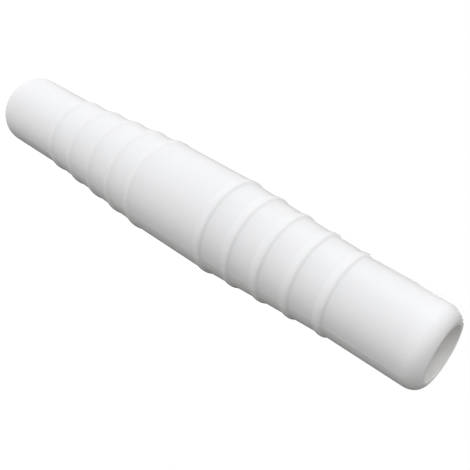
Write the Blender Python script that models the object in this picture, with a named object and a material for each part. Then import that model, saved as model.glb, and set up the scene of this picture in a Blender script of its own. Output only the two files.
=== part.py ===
"""Pool hose adapter: one blow-moulded tube, the same at both ends.

A plain round band in the middle runs into a cone on each half. Each cone carries raised rings, the
outermost of them set a little further out than the others' pitch. Every ring is also a small step
down towards the end, so that a hose cuff pushed over the plain end wedges on the ring that fits it.
Both ends turn in over a round shoulder to a flat, square-trimmed lip round the open mouth, whose
neck narrows a little on its way in and then widens to the inside of the wall.
Between the mouths the inside follows the cone, one wall in, as a blown wall does.
The tube stands on one lip, centred on the Z axis, in metres.
"""

import math

import bmesh
import bpy

# Driving dimensions of the whole tube, in metres
TUBE_LENGTH = 0.2454
PLAIN_END_DIAMETER = 0.0350
WALL = 0.0022

# Rings: their crests are set out from the middle of the tube. The flank that faces the end holds up
# at first and then drops, by its bias, where 1 would be an even flank.
RING_COUNT = 5
FIRST_RING = 0.0212
RING_PITCH = 0.0145
LAST_RING_PITCH = 0.0153
RING_RISE = 0.00046
RING_STEP = 0.00043
RING_MIDDLE_FLANK = 0.0023
RING_END_FLANK = 0.0027
RING_END_BIAS = 1.6
CONE_DROP = 0.0005

# Mouth: the shoulder takes up what the mouth and its flat lip leave of the plain end's radius
MOUTH_DIAMETER = 0.0232
LIP_WIDTH = 0.0009
SHOULDER_LENGTH = 0.0061
NECK_LENGTH = 0.0065
NECK_DRAFT = 0.0012
THROAT_LENGTH = 0.0050

# Fineness of the turned shape
SEGMENTS = 40
SHOULDER_STEPS = 6
THROAT_STEPS = 4
FLANK_PLACES = (-1.0, -0.55, -0.18, 0.18, 0.5, 0.75, 1.0)


def ring_crests():
    """Distance of each crest from the middle of the tube, from the innermost ring to the outermost one."""
    inner = [FIRST_RING + i * RING_PITCH for i in range(RING_COUNT - 1)]
    return inner + [inner[-1] + LAST_RING_PITCH]


def ring_radii():
    """Radius on the middle side of each ring, from the innermost ring to the outermost one."""
    plain = PLAIN_END_DIAMETER / 2
    return [plain + (RING_COUNT - i) * RING_STEP + (RING_COUNT - 1 - i) * CONE_DROP for i in range(RING_COUNT)]


def ring_outline(crest, radius):
    """Points (r, z) over one ring, from -1 (middle side foot) over 0 (crest) to 1 (end side foot)."""
    points = []
    for place in FLANK_PLACES:
        if place < 0:
            share = (1 + math.cos(math.pi * place)) / 2
            points.append((radius + RING_RISE * share, crest + place * RING_MIDDLE_FLANK))
        else:
            share = (1 + math.cos(math.pi * place**RING_END_BIAS)) / 2
            foot = radius - RING_STEP
            points.append((foot + (RING_RISE + RING_STEP) * share, crest + place * RING_END_FLANK))
    return points


def shoulder_arc():
    """Quarter round (r, z) from the plain wall in to the lip, longer along the tube than across it."""
    lip_edge = MOUTH_DIAMETER / 2 + LIP_WIDTH
    across = PLAIN_END_DIAMETER / 2 - lip_edge
    foot = TUBE_LENGTH / 2 - SHOULDER_LENGTH
    angles = [math.pi / 2 * i / SHOULDER_STEPS for i in range(SHOULDER_STEPS + 1)]
    return [(lip_edge + across * math.cos(angle), foot + SHOULDER_LENGTH * math.sin(angle)) for angle in angles]


def throat_slope():
    """Rounded slope (r, z) from the inside of the wall in to the narrowest place of the mouth's neck."""
    bore = PLAIN_END_DIAMETER / 2 - WALL
    neck = MOUTH_DIAMETER / 2 - NECK_DRAFT
    top = TUBE_LENGTH / 2 - NECK_LENGTH
    points = []
    for i in range(THROAT_STEPS + 1):
        share = i / THROAT_STEPS
        narrow = (1 - math.cos(math.pi * share)) / 2
        points.append((bore + (neck - bore) * narrow, top - THROAT_LENGTH * (1 - share)))
    return points


def outer_half():
    """Outline of the outside, from the middle band to the mouth."""
    points = []
    for crest, radius in zip(ring_crests(), ring_radii()):
        points += ring_outline(crest, radius)
    points += shoulder_arc()
    points.append((MOUTH_DIAMETER / 2, TUBE_LENGTH / 2))
    return points


def inner_half():
    """Outline of the inside, one wall in from the cone and without the rings' crests, to the neck."""
    points = []
    for crest, radius in zip(ring_crests(), ring_radii()):
        points.append((radius - WALL, crest - RING_MIDDLE_FLANK))
        points.append((radius - RING_STEP - WALL, crest + RING_END_FLANK))
    return points + throat_slope()


def wall_section():
    """Closed loop of (r, z) points round the cut wall, with z from the foot of the tube."""
    half = TUBE_LENGTH / 2
    outside = outer_half()
    inside = inner_half()
    loop = [(r, half - z) for r, z in reversed(outside)] + [(r, half + z) for r, z in outside]
    loop += [(r, half + z) for r, z in reversed(inside)] + [(r, half - z) for r, z in inside]
    return loop


def turned_mesh(name, section, segments):
    """Turns a closed section once round Z."""
    bm = bmesh.new()
    corners = [bm.verts.new((r, 0, z)) for r, z in section]
    edges = [bm.edges.new((corners[i - 1], corners[i])) for i in range(len(corners))]
    bmesh.ops.spin(
        bm, geom=corners + edges, cent=(0, 0, 0), axis=(0, 0, 1),
        angle=math.tau, steps=segments, use_merge=True, use_normal_flip=False,
    )
    bmesh.ops.recalc_face_normals(bm, faces=bm.faces)
    mesh = bpy.data.meshes.new(name)
    bm.to_mesh(mesh)
    bm.free()
    return mesh


def white_plastic():
    """Gloss white polyethylene."""
    material = bpy.data.materials.new("white_plastic")
    material.use_nodes = True
    shader = material.node_tree.nodes["Principled BSDF"]
    shader.inputs["Base Color"].default_value = (0.86, 0.87, 0.88, 1)
    shader.inputs["Roughness"].default_value = 0.28
    shader.inputs["Metallic"].default_value = 0.0
    return material


def build():
    """Makes the tube as one object."""
    for item in list(bpy.data.objects):
        bpy.data.objects.remove(item)
    mesh = turned_mesh("adapter_tube", wall_section(), SEGMENTS)
    mesh.shade_smooth()
    mesh.set_sharp_from_angle(angle=math.radians(40))
    mesh.materials.append(white_plastic())
    tube = bpy.data.objects.new("adapter_tube", mesh)
    bpy.context.scene.collection.objects.link(tube)


if __name__ == "__main__":
    build()
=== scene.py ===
"""Looks of the pool hose adapter: the blow-moulded tube, its plastic, the studio and the camera.

The tube stands on its lower lip at the origin, along +Z, in metres, as the CAD model does. The camera
is turned so that the tube lies across the picture, with its upper end near the lower right corner.
"""

from __future__ import annotations

import logging
import math
from dataclasses import dataclass, field
from enum import Enum

import bmesh
import bpy
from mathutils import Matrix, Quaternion, Vector

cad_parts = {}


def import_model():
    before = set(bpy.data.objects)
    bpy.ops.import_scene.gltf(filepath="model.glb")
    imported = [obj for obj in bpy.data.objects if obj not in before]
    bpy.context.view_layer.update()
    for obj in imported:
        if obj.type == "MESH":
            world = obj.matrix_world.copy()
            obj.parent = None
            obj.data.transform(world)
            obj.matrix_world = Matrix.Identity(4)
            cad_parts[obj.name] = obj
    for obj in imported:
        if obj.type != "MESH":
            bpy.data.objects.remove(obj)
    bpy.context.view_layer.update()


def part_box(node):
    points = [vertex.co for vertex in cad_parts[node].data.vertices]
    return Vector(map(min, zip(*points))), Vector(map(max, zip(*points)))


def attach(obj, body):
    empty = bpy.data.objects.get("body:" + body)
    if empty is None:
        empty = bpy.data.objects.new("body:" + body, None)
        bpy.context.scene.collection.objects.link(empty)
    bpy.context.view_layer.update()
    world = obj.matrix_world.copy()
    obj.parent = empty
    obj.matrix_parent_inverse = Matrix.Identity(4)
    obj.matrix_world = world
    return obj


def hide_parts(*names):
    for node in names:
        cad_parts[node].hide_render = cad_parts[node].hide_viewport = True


LOG = logging.getLogger("hose_adapter")

MM = 0.001
PICTURE_SIDE = 470
SENSOR_WIDTH_MM = 36.0
CLIP_START = 10.0 * MM
LAMP_DISTANCE = 1.1
WHITE = (1.0, 1.0, 1.0, 1.0)

# Vertex value that is 1 on the moulded outside and 0 on the blown inside; it also picks the inside's paler
# colour, which is painted light
OUTSIDE = "outside"

# How near to a cutting plane a vertex counts as on it, and where an edge counts as sharp
CUT_REACH = 1e-7
SHARP_ANGLE = math.radians(50)


class Skin(Enum):
    """Which side of the blown wall a stretch of the section belongs to, with its outside value."""

    MOULDED = 1.0
    BLOWN = 0.0


def mesh_from(bm: bmesh.types.BMesh, name: str) -> bpy.types.Mesh:
    """Turns finished bmesh data into a mesh.

    Args:
        bm: The data, which is freed.
        name: The mesh's name.

    Returns:
        The mesh.
    """
    mesh = bpy.data.meshes.new(name)
    bm.to_mesh(mesh)
    bm.free()
    return mesh


def add_object(name: str, data: bpy.types.ID) -> bpy.types.Object:
    """Adds an object to the scene.

    Args:
        name: The object's name.
        data: Its mesh, lamp or camera.

    Returns:
        The object.
    """
    item = bpy.data.objects.new(name, data)
    bpy.context.scene.collection.objects.link(item)
    return item


def camera_mask(tree: bpy.types.NodeTree) -> bpy.types.NodeSocket:
    """Adds a mask for what the camera sees, straight or through something clear.

    Args:
        tree: The nodes of a world or a material.

    Returns:
        A socket that is 1 for camera and transmission rays and 0 for all others.
    """
    rays = tree.nodes.new("ShaderNodeLightPath")
    seen = tree.nodes.new("ShaderNodeMath")
    seen.operation = "MAXIMUM"
    tree.links.new(rays.outputs["Is Camera Ray"], seen.inputs[0])
    tree.links.new(rays.outputs["Is Transmission Ray"], seen.inputs[1])
    return seen.outputs["Value"]


# Shape of the tube


@dataclass(frozen=True)
class RingRow:
    """The raised rings of one cone, set out from the middle of the tube.

    Attributes:
        count: Rings on each half.
        first: Distance of the innermost crest from the middle.
        pitch: Distance between crests.
        last_pitch: Distance from the last crest but one to the outermost one.
        rise: Height of a crest over the wall on its middle side.
        step: Loss of radius from the middle side of a ring to its end side.
        middle_flank: Length of the flank that faces the middle.
        end_flank: Length of the flank that faces the end.
        end_bias: Power that holds the end flank up at first and then drops it, 1 for an even flank.
        cone_drop: Loss of radius along the cone between two rings.
        places: Points over each flank.
    """

    count: int = 5
    first: float = 21.2 * MM
    pitch: float = 14.5 * MM
    last_pitch: float = 15.3 * MM
    rise: float = 0.44 * MM
    step: float = 0.43 * MM
    middle_flank: float = 2.6 * MM
    end_flank: float = 2.7 * MM
    end_bias: float = 2.1
    cone_drop: float = 0.5 * MM
    places: int = 9

    def crests(self) -> list[float]:
        """Distance of each crest from the middle of the tube, from the innermost ring outwards."""
        inner = [self.first + i * self.pitch for i in range(self.count - 1)]
        return [*inner, inner[-1] + self.last_pitch]

    def radii(self, plain: float) -> list[float]:
        """Radii on the middle side of each ring.

        Args:
            plain: Radius of the plain end.

        Returns:
            One radius for each ring, from the innermost one to the outermost one.
        """
        left = range(self.count, 0, -1)
        return [plain + n * self.step + (n - 1) * self.cone_drop for n in left]

    def outline(self, crest: float, radius: float) -> list[tuple[float, float]]:
        """Rounded profile over one ring.

        Args:
            crest: Height of the crest from the middle of the tube.
            radius: Radius on the ring's middle side.

        Returns:
            Points (r, z) from the middle side foot to the end side foot.
        """
        points = []
        for i in range(-self.places, self.places + 1):
            place = i / self.places
            if place <= 0:
                share = (1 + math.cos(math.pi * place)) / 2
                points.append((radius + self.rise * share, crest + place * self.middle_flank))
            else:
                share = (1 + math.cos(math.pi * place**self.end_bias)) / 2
                foot = radius - self.step
                points.append((foot + (self.rise + self.step) * share, crest + place * self.end_flank))
        return points


@dataclass(frozen=True)
class Mouth:
    """One open end: the round shoulder, the flat trimmed lip and the neck inside.

    Attributes:
        radius: Radius of the neck at the lip.
        draft: Loss of radius down the neck.
        lip: Width of the flat lip round the hole.
        shoulder: Length of the shoulder along the tube.
        edge: Radius of the lip's softened inner edge.
        neck: Length of the neck.
        throat: Length of the slope from the neck out to the blown wall.
        shoulder_steps: Points round the shoulder.
        edge_steps: Points round the softened edge.
        throat_steps: Points down the slope.
    """

    radius: float = 11.6 * MM
    draft: float = 1.2 * MM
    lip: float = 0.9 * MM
    shoulder: float = 6.1 * MM
    edge: float = 0.3 * MM
    neck: float = 6.5 * MM
    throat: float = 5.0 * MM
    shoulder_steps: int = 20
    edge_steps: int = 4
    throat_steps: int = 8

    def shoulder_arc(self, plain: float, end: float) -> list[tuple[float, float]]:
        """Quarter round from the plain wall in towards the lip.

        Args:
            plain: Outside radius of the plain end.
            end: Height of the lip from the middle of the tube.

        Returns:
            Points (r, z) from the plain wall to just before the lip's flat.
        """
        lip_edge = self.radius + self.lip
        points = []
        for i in range(self.shoulder_steps):
            angle = math.pi / 2 * i / self.shoulder_steps
            across = (plain - lip_edge) * math.cos(angle)
            points.append((lip_edge + across, end - self.shoulder * (1 - math.sin(angle))))
        return points

    def throat_slope(self, bore: float, end: float) -> list[tuple[float, float]]:
        """Rounded slope from the blown wall's inside in to the neck's narrowest place.

        Args:
            bore: Inside radius of the plain end.
            end: Height of the lip from the middle of the tube.

        Returns:
            Points (r, z) from the blown wall to the foot of the neck.
        """
        narrowest = self.radius - self.draft
        neck_foot = end - self.neck
        points = []
        for i in range(self.throat_steps + 1):
            share = i / self.throat_steps
            narrow = (1 - math.cos(math.pi * share)) / 2
            points.append((bore + (narrowest - bore) * narrow, neck_foot - self.throat * (1 - share)))
        return points

    def trimmed_lip(self, end: float) -> list[tuple[float, float]]:
        """The trimmed lip: the hole's softened edge and the flat round it.

        Args:
            end: Height of the lip from the middle of the tube.

        Returns:
            Points (r, z) from the hole out to the end of the flat.
        """
        points = []
        for i in range(self.edge_steps + 1):
            angle = math.pi / 2 * i / self.edge_steps
            out = self.edge * (1 - math.cos(angle))
            down = self.edge * (1 - math.sin(angle))
            points.append((self.radius + out, end - down))
        return [*points, (self.radius + self.lip, end)]


@dataclass(frozen=True)
class PartingLine:
    """The thin raised line where the two halves of the mould met, on the +X and -X sides.

    Attributes:
        half_width: Half the width of its foot.
        half_top: Half the width of its rounded top.
        top_slack: Multiple of half_top within which a vertex is lifted with the top.
        plain_height: How far it stands proud on the plain ends.
        cone_height: How far it stands proud on the cones and the middle band.
    """

    half_width: float = 0.30 * MM
    half_top: float = 0.12 * MM
    top_slack: float = 1.02
    plain_height: float = 0.16 * MM
    cone_height: float = 0.07 * MM


@dataclass
class AdapterTube:
    """The whole adapter, one hollow blown piece.

    Attributes:
        length: Height of the tube.
        plain: Outside radius of the plain ends.
        wall: Thickness of the blown wall.
        rings: The rings of each cone.
        mouth: The open end.
        parting: The mould's parting line.
        segments: Faces round the tube.
        name: Name of the object and its mesh.
    """

    length: float = 245.4 * MM
    plain: float = 17.5 * MM
    wall: float = 2.2 * MM
    rings: RingRow = field(default_factory=RingRow)
    mouth: Mouth = field(default_factory=Mouth)
    parting: PartingLine = field(default_factory=PartingLine)
    segments: int = 192
    name: str = "adapter_body"

    def outer_half(self) -> list[tuple[float, float]]:
        """Outline of the moulded outside, from the middle band over the shoulder."""
        half = self.length / 2
        points = []
        for crest, radius in zip(self.rings.crests(), self.rings.radii(self.plain)):
            points += self.rings.outline(crest, radius)
        return points + self.mouth.shoulder_arc(self.plain, half)

    def inner_half(self) -> list[tuple[float, float]]:
        """Outline of the free inside, one wall in, from the middle band to the trimmed lip."""
        half = self.length / 2
        rings = self.rings
        points = []
        for crest, radius in zip(rings.crests(), rings.radii(self.plain)):
            points.append((radius - self.wall, crest - rings.middle_flank))
            points.append((radius - rings.step / 2 - self.wall, crest))
            points.append((radius - rings.step - self.wall, crest + rings.end_flank))
        points += self.mouth.throat_slope(self.plain - self.wall, half)
        return points + self.mouth.trimmed_lip(half)

    def section(self) -> list[tuple[float, float, Skin]]:
        """Closed loop round the cut wall.

        Returns:
            Points (r, z, skin), with z from the tube's foot.
        """
        half = self.length / 2
        outside = self.outer_half()
        inside = self.inner_half()
        loop = [(r, half - z, Skin.MOULDED) for r, z in reversed(outside)]
        loop += [(r, half + z, Skin.MOULDED) for r, z in outside]
        loop += [(r, half + z, Skin.BLOWN) for r, z in reversed(inside)]
        return loop + [(r, half - z, Skin.BLOWN) for r, z in inside]

    def turned(self) -> bmesh.types.BMesh:
        """Turns the section once round Z.

        Returns:
            The closed wall, with a vertex value that is 1 outside and 0 inside.
        """
        bm = bmesh.new()
        outside = bm.verts.layers.float.new(OUTSIDE)
        corners = []
        for r, z, skin in self.section():
            corner = bm.verts.new((r, 0.0, z))
            corner[outside] = skin.value
            corners.append(corner)
        edges = [bm.edges.new((corners[i - 1], corners[i])) for i in range(len(corners))]
        bmesh.ops.spin(
            bm, geom=corners + edges, cent=(0, 0, 0), axis=(0, 0, 1),
            angle=math.tau, steps=self.segments, use_merge=True,
        )
        bmesh.ops.recalc_face_normals(bm, faces=bm.faces)
        return bm

    def line_height(self, z: float) -> float:
        """Height of the parting line.

        Args:
            z: Height up the tube.

        Returns:
            How far the line stands proud there, fading from the plain ends into the rings.
        """
        rings = self.rings
        last_foot = rings.crests()[-1] + rings.end_flank
        away = abs(z - self.length / 2) - last_foot
        share = min(max(away / rings.pitch + 0.5, 0.0), 1.0)
        line = self.parting
        return line.cone_height + (line.plain_height - line.cone_height) * share

    def add_parting_line(self, bm: bmesh.types.BMesh) -> None:
        """Cuts and lifts the parting line on both sides.

        Args:
            bm: The turned wall.
        """
        line = self.parting
        for offset in (-line.half_width, -line.half_top, line.half_top, line.half_width):
            bmesh.ops.bisect_plane(
                bm, geom=bm.verts[:] + bm.edges[:] + bm.faces[:], dist=CUT_REACH,
                plane_co=(0, offset, 0), plane_no=(0, 1, 0),
            )
        outside = bm.verts.layers.float[OUTSIDE]
        half = self.length / 2
        shoulder = half - self.mouth.shoulder
        top = line.half_top * line.top_slack
        for vert in bm.verts:
            if vert[outside] < Skin.MOULDED.value:
                continue
            if abs(vert.co.y) > top or abs(vert.co.z - half) > shoulder:
                continue
            lift = self.line_height(vert.co.z)
            vert.co.x += math.copysign(lift, vert.co.x)

    def build(self) -> bpy.types.Object:
        """Makes the tube.

        Returns:
            The tube, at the origin, without a material.
        """
        bm = self.turned()
        self.add_parting_line(bm)
        mesh = mesh_from(bm, self.name)
        mesh.shade_smooth()
        mesh.set_sharp_from_angle(angle=SHARP_ANGLE)
        return add_object(self.name, mesh)


# Finishes


@dataclass(frozen=True)
class MouldSkin:
    """Shader node group: the faint unevenness of a moulded plastic surface.

    It puts out a mask of soft mottling and a height for a bump: slow waves from the cooling wall and a
    fine orange peel from the mould.

    Attributes:
        wave_size: Scale of the waves' noise, where higher is finer.
        wave_detail: Octaves of the waves.
        peel_size: Scale of the orange peel's noise.
        peel_detail: Octaves of the orange peel.
        peel_share: Share of the orange peel in the height.
        name: Name of the group.
    """

    wave_size: float = 28.0
    wave_detail: float = 3.0
    peel_size: float = 700.0
    peel_detail: float = 2.0
    peel_share: float = 0.12
    name: str = "mould_skin"

    def group(self) -> bpy.types.NodeTree:
        """Builds the group once.

        Returns:
            The node group.
        """
        if self.name in bpy.data.node_groups:
            return bpy.data.node_groups[self.name]
        tree = bpy.data.node_groups.new(self.name, "ShaderNodeTree")
        settings = {"Wave Size": self.wave_size, "Peel Size": self.peel_size, "Peel Share": self.peel_share}
        for label, default in settings.items():
            socket = tree.interface.new_socket(name=label, in_out="INPUT", socket_type="NodeSocketFloat")
            socket.default_value = default
        for label in ("Mottle", "Height"):
            tree.interface.new_socket(name=label, in_out="OUTPUT", socket_type="NodeSocketFloat")
        entry = tree.nodes.new("NodeGroupInput")
        leave = tree.nodes.new("NodeGroupOutput")
        place = tree.nodes.new("ShaderNodeTexCoord")
        waves = self.noise(tree, place, entry.outputs["Wave Size"], self.wave_detail)
        peel = self.noise(tree, place, entry.outputs["Peel Size"], self.peel_detail)
        height = tree.nodes.new("ShaderNodeMix")
        height.data_type = "FLOAT"
        tree.links.new(entry.outputs["Peel Share"], height.inputs["Factor"])
        tree.links.new(waves.outputs["Fac"], height.inputs["A"])
        tree.links.new(peel.outputs["Fac"], height.inputs["B"])
        tree.links.new(waves.outputs["Fac"], leave.inputs["Mottle"])
        tree.links.new(height.outputs["Result"], leave.inputs["Height"])
        return tree

    @staticmethod
    def noise(
        tree: bpy.types.NodeTree, place: bpy.types.Node, size: bpy.types.NodeSocket, detail: float
    ) -> bpy.types.Node:
        """Adds a noise on Object coordinates.

        Args:
            tree: The group.
            place: Its Texture Coordinate node.
            size: The socket that gives the noise's scale.
            detail: Octaves.

        Returns:
            The noise node.
        """
        node = tree.nodes.new("ShaderNodeTexNoise")
        node.inputs["Detail"].default_value = detail
        tree.links.new(place.outputs["Object"], node.inputs["Vector"])
        tree.links.new(size, node.inputs["Scale"])
        return node


@dataclass(frozen=True)
class BlownPlastic:
    """White polyethylene: glossy where the mould pressed it, duller on the free inside.

    Attributes:
        cool: Colour of the moulded skin where it is cooler.
        warm: Colour of the moulded skin where it is warmer.
        inside: Colour of the free inside, paler than the moulded skin: painted light that stands in for
            light that comes through the wall into the tube.
        gloss: Roughness of the moulded skin at its smoothest.
        gloss_spread: How much rougher the moulded skin is at its roughest.
        dull: Roughness of the free inside.
        bump: Strength of the bump.
        bump_height: Height of the bump.
        index: Index of refraction.
        glow: Share of light that goes into the plastic and out again.
        glow_depth: How far that light goes.
        glow_colour: How far red, green and blue light go, as shares of that depth.
        name: Name of the material.
    """

    cool: tuple[float, float, float] = (0.876, 0.886, 0.902)
    warm: tuple[float, float, float] = (0.886, 0.890, 0.896)
    inside: tuple[float, float, float] = (0.96, 0.96, 0.95)
    gloss: float = 0.285
    gloss_spread: float = 0.08
    dull: float = 0.45
    bump: float = 0.15
    bump_height: float = 0.12 * MM
    index: float = 1.5
    glow: float = 0.6
    glow_depth: float = 3.0 * MM
    glow_colour: tuple[float, float, float] = (1.0, 0.95, 0.9)
    name: str = "white_polyethylene"

    def material(self) -> bpy.types.Material:
        """Builds the material.

        Returns:
            The material, on Object coordinates and the outside value.
        """
        material = bpy.data.materials.new(self.name)
        material.use_nodes = True
        tree = material.node_tree
        shader = tree.nodes["Principled BSDF"]
        skin = tree.nodes.new("ShaderNodeGroup")
        skin.node_tree = MouldSkin().group()
        side = tree.nodes.new("ShaderNodeAttribute")
        side.attribute_name = OUTSIDE
        moulded = self.blend(tree, skin.outputs["Mottle"], self.cool, self.warm)
        # The paler inside colour is painted light, standing in for light that comes through the wall into
        # the tube
        colour = tree.nodes.new("ShaderNodeMix")
        colour.data_type = "RGBA"
        tree.links.new(side.outputs["Fac"], colour.inputs["Factor"])
        colour.inputs["A"].default_value = (*self.inside, 1.0)
        tree.links.new(moulded.outputs["Result"], colour.inputs["B"])
        tree.links.new(colour.outputs["Result"], shader.inputs["Base Color"])
        self.roughness(tree, skin, side, shader)
        bump = tree.nodes.new("ShaderNodeBump")
        bump.inputs["Strength"].default_value = self.bump
        bump.inputs["Distance"].default_value = self.bump_height
        tree.links.new(skin.outputs["Height"], bump.inputs["Height"])
        tree.links.new(bump.outputs["Normal"], shader.inputs["Normal"])
        shader.inputs["IOR"].default_value = self.index
        shader.inputs["Subsurface Weight"].default_value = self.glow
        shader.inputs["Subsurface Scale"].default_value = self.glow_depth
        shader.inputs["Subsurface Radius"].default_value = self.glow_colour
        return material

    @staticmethod
    def blend(
        tree: bpy.types.NodeTree,
        mask: bpy.types.NodeSocket,
        low: tuple[float, float, float],
        high: tuple[float, float, float],
    ) -> bpy.types.Node:
        """Mixes two colours by a mask.

        Args:
            tree: The material's nodes.
            mask: The mask's socket.
            low: Colour where the mask is 0.
            high: Colour where the mask is 1.

        Returns:
            The mix node.
        """
        mix = tree.nodes.new("ShaderNodeMix")
        mix.data_type = "RGBA"
        tree.links.new(mask, mix.inputs["Factor"])
        mix.inputs["A"].default_value = (*low, 1.0)
        mix.inputs["B"].default_value = (*high, 1.0)
        return mix

    def roughness(
        self, tree: bpy.types.NodeTree, skin: bpy.types.Node, side: bpy.types.Node, shader: bpy.types.Node
    ) -> None:
        """Varies the gloss over the moulded skin and dulls the inside.

        Args:
            tree: The material's nodes.
            skin: The mould skin group's node.
            side: The node that reads the outside value.
            shader: The material's shader.
        """
        spread = tree.nodes.new("ShaderNodeMapRange")
        spread.clamp = False
        spread.inputs["To Min"].default_value = self.gloss
        spread.inputs["To Max"].default_value = self.gloss + self.gloss_spread
        tree.links.new(skin.outputs["Mottle"], spread.inputs["Value"])
        rough = tree.nodes.new("ShaderNodeMix")
        rough.data_type = "FLOAT"
        tree.links.new(side.outputs["Fac"], rough.inputs["Factor"])
        rough.inputs["A"].default_value = self.dull
        tree.links.new(spread.outputs["Result"], rough.inputs["B"])
        tree.links.new(rough.outputs["Result"], shader.inputs["Roughness"])


# Studio


@dataclass(frozen=True)
class Bearing:
    """A direction as seen from the tube, in degrees.

    Attributes:
        azimuth: Angle round Z from +X.
        elevation: Angle over the floor.
    """

    azimuth: float
    elevation: float

    def vector(self) -> Vector:
        """Unit vector from the tube in that direction."""
        azimuth = math.radians(self.azimuth)
        elevation = math.radians(self.elevation)
        level = math.cos(elevation)
        return Vector((level * math.cos(azimuth), level * math.sin(azimuth), math.sin(elevation)))


@dataclass(frozen=True)
class StudioCamera:
    """The photograph's viewpoint, found from its outlines and ring lines.

    Attributes:
        bearing: Where the camera stands, seen from the tube.
        distance: From the camera to the tube's middle, along the view.
        roll: How far the camera is turned about its view, in degrees.
        lens_mm: Focal length.
        middle_px: Where the tube's middle falls in the 470 pixel picture.
    """

    bearing: Bearing = Bearing(-56.0, 30.0)
    distance: float = 308.64 * MM
    roll: float = 121.11
    lens_mm: float = 53.6
    middle_px: tuple[float, float] = (195.64, 205.73)

    def place(self, middle: Vector) -> bpy.types.Object:
        """Adds the camera and makes it the scene's.

        Args:
            middle: The tube's middle.

        Returns:
            The camera.
        """
        data = bpy.data.cameras.new("studio_camera")
        data.lens = self.lens_mm
        data.sensor_width = SENSOR_WIDTH_MM
        data.clip_start = CLIP_START
        camera = add_object("studio_camera", data)
        look = -self.bearing.vector()
        turn = look.to_track_quat("-Z", "Y") @ Quaternion((0, 0, 1), math.radians(self.roll))
        pixel = self.distance * SENSOR_WIDTH_MM / self.lens_mm / PICTURE_SIDE
        across = (self.middle_px[0] - PICTURE_SIDE / 2) * pixel
        down = (self.middle_px[1] - PICTURE_SIDE / 2) * pixel
        camera.rotation_euler = turn.to_euler()
        camera.location = middle - turn @ Vector((across, -down, -self.distance))
        bpy.context.scene.camera = camera
        return camera


@dataclass(frozen=True)
class SoftBox:
    """A square area lamp that faces the tube's middle and is hidden from the camera.

    Attributes:
        name: The lamp's name.
        bearing: Where it hangs, seen from the tube's middle.
        side: Length of its side.
        power: Watts.
    """

    name: str
    bearing: Bearing
    side: float
    power: float

    def place(self, middle: Vector) -> None:
        """Hangs the lamp.

        Args:
            middle: The tube's middle.
        """
        data = bpy.data.lights.new(self.name, "AREA")
        data.shape = "SQUARE"
        data.size = self.side
        data.energy = self.power
        lamp = add_object(self.name, data)
        lamp.location = middle + self.bearing.vector() * LAMP_DISTANCE
        lamp.rotation_euler = (-self.bearing.vector()).to_track_quat("-Z", "Y").to_euler()
        lamp.visible_camera = False


SOFT_BOXES = (
    SoftBox("key_box", Bearing(-125.0, -5.0), side=0.6, power=1.1),
    SoftBox("spark_box", Bearing(-114.0, 20.0), side=0.14, power=0.35),
    SoftBox("mouth_box", Bearing(124.0, 60.0), side=0.8, power=1.9),
    SoftBox("front_box", Bearing(-64.0, -18.0), side=0.5, power=0.3),
    SoftBox("back_box", Bearing(140.0, 0.0), side=0.3, power=6.0),
)


@dataclass(frozen=True)
class StudioRoom:
    """The white room: brightest on one side, dim on the other, plain white to the camera.

    Attributes:
        bright_side: Direction that the room's light comes from.
        bright: Strength on that side.
        dim: Strength on the other side.
        cool: Colour of the bright side.
        warm: Colour of the dim side.
        edge: Half the width of the soft change between the two, as a cosine.
        tint_end: Cosine to the bright side at which the light has lost all its warmth.
    """

    bright_side: Bearing = Bearing(-92.0, -20.0)
    bright: float = 0.99
    dim: float = 0.04
    cool: tuple[float, float, float] = (0.985, 0.985, 1.0)
    warm: tuple[float, float, float] = (1.0, 0.945, 0.84)
    edge: float = 0.32
    tint_end: float = 0.6

    def build(self) -> None:
        """Sets up the world."""
        world = bpy.data.worlds.new("studio_room")
        bpy.context.scene.world = world
        world.use_nodes = True
        tree = world.node_tree
        tree.nodes.clear()
        leave = tree.nodes.new("ShaderNodeOutputWorld")
        place = tree.nodes.new("ShaderNodeTexCoord")
        facing = tree.nodes.new("ShaderNodeVectorMath")
        facing.operation = "DOT_PRODUCT"
        facing.inputs[1].default_value = self.bright_side.vector()
        tree.links.new(place.outputs["Generated"], facing.inputs[0])
        level = self.ramp(tree, facing, self.edge)
        level.inputs["To Min"].default_value = self.dim
        level.inputs["To Max"].default_value = self.bright
        tint = tree.nodes.new("ShaderNodeMix")
        tint.data_type = "RGBA"
        tint.inputs["A"].default_value = (*self.warm, 1.0)
        tint.inputs["B"].default_value = (*self.cool, 1.0)
        tree.links.new(self.ramp(tree, facing, self.tint_end).outputs["Result"], tint.inputs["Factor"])
        room = tree.nodes.new("ShaderNodeBackground")
        tree.links.new(tint.outputs["Result"], room.inputs["Color"])
        tree.links.new(level.outputs["Result"], room.inputs["Strength"])
        seen = tree.nodes.new("ShaderNodeBackground")
        seen.inputs["Color"].default_value = WHITE
        mix = tree.nodes.new("ShaderNodeMixShader")
        tree.links.new(camera_mask(tree), mix.inputs["Fac"])
        tree.links.new(room.outputs["Background"], mix.inputs[1])
        tree.links.new(seen.outputs["Background"], mix.inputs[2])
        tree.links.new(mix.outputs["Shader"], leave.inputs["Surface"])

    def ramp(self, tree: bpy.types.NodeTree, facing: bpy.types.Node, last: float) -> bpy.types.Node:
        """Adds a soft change across the room, from the dim side to the bright one.

        Args:
            tree: The world's nodes.
            facing: The node that gives the cosine to the bright side.
            last: Cosine at which the change is complete.

        Returns:
            The map range node.
        """
        node = tree.nodes.new("ShaderNodeMapRange")
        node.interpolation_type = "SMOOTHSTEP"
        node.inputs["From Min"].default_value = -self.edge
        node.inputs["From Max"].default_value = last
        tree.links.new(facing.outputs["Value"], node.inputs["Value"])
        return node


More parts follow.
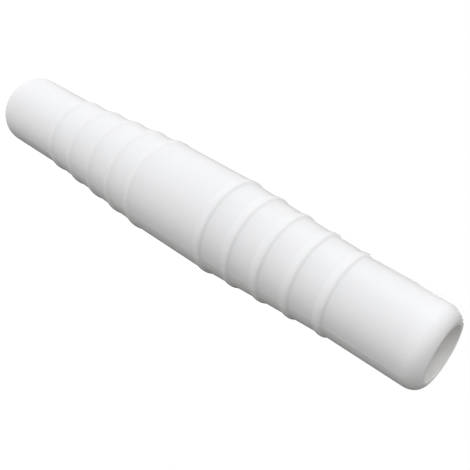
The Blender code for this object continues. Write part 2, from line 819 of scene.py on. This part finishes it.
@dataclass(frozen=True)
class StudioFloor:
    """A round pale floor under the tube, white to the camera, with the tube's soft shadow on it.

    Attributes:
        radius: Radius of the floor.
        segments: Sides of its edge.
        colour: Grey of the floor's own surface.
        dull: Roughness of the floor.
        lift: Strength of the white that the camera sees on top of the lit floor.
    """

    radius: float = 0.45
    segments: int = 96
    colour: float = 0.6
    dull: float = 0.9
    lift: float = 0.85

    def material(self) -> bpy.types.Material:
        """Builds the floor's material.

        Returns:
            A matt grey, with its white lift on camera and transmission rays alone.
        """
        material = bpy.data.materials.new("pale_floor")
        material.use_nodes = True
        tree = material.node_tree
        shader = tree.nodes["Principled BSDF"]
        shader.inputs["Base Color"].default_value = (self.colour, self.colour, self.colour, 1.0)
        shader.inputs["Roughness"].default_value = self.dull
        shader.inputs["Specular IOR Level"].default_value = 0.0
        shader.inputs["Emission Color"].default_value = WHITE
        lift = tree.nodes.new("ShaderNodeMath")
        lift.operation = "MULTIPLY"
        lift.inputs[1].default_value = self.lift
        tree.links.new(camera_mask(tree), lift.inputs[0])
        tree.links.new(lift.outputs["Value"], shader.inputs["Emission Strength"])
        return material

    def build(self) -> None:
        """Lays the floor."""
        bm = bmesh.new()
        bmesh.ops.create_circle(bm, cap_ends=True, segments=self.segments, radius=self.radius)
        mesh = mesh_from(bm, "floor")
        mesh.materials.append(self.material())
        floor = add_object("floor", mesh)
        floor.visible_diffuse = False
        floor.visible_glossy = False
        floor.visible_shadow = False


def main() -> None:
    """Builds the tube, dresses it and sets up the studio."""
    logging.basicConfig(level=logging.INFO, format="%(name)s: %(message)s")
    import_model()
    low, high = (Vector(corner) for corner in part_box("adapter_tube"))
    middle = (low + high) / 2

    body = AdapterTube().build()
    body.data.materials.append(BlownPlastic().material())
    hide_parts("adapter_tube")
    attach(body, "root")
    LOG.info("%s: %d faces", body.name, len(body.data.polygons))

    StudioFloor().build()
    StudioRoom().build()
    for soft_box in SOFT_BOXES:
        soft_box.place(middle)
    camera = StudioCamera().place(middle)
    LOG.info("camera at %s", tuple(round(value, 4) for value in camera.location))
    bpy.context.scene.view_settings.view_transform = "Standard"


if __name__ == "__main__":
    main()
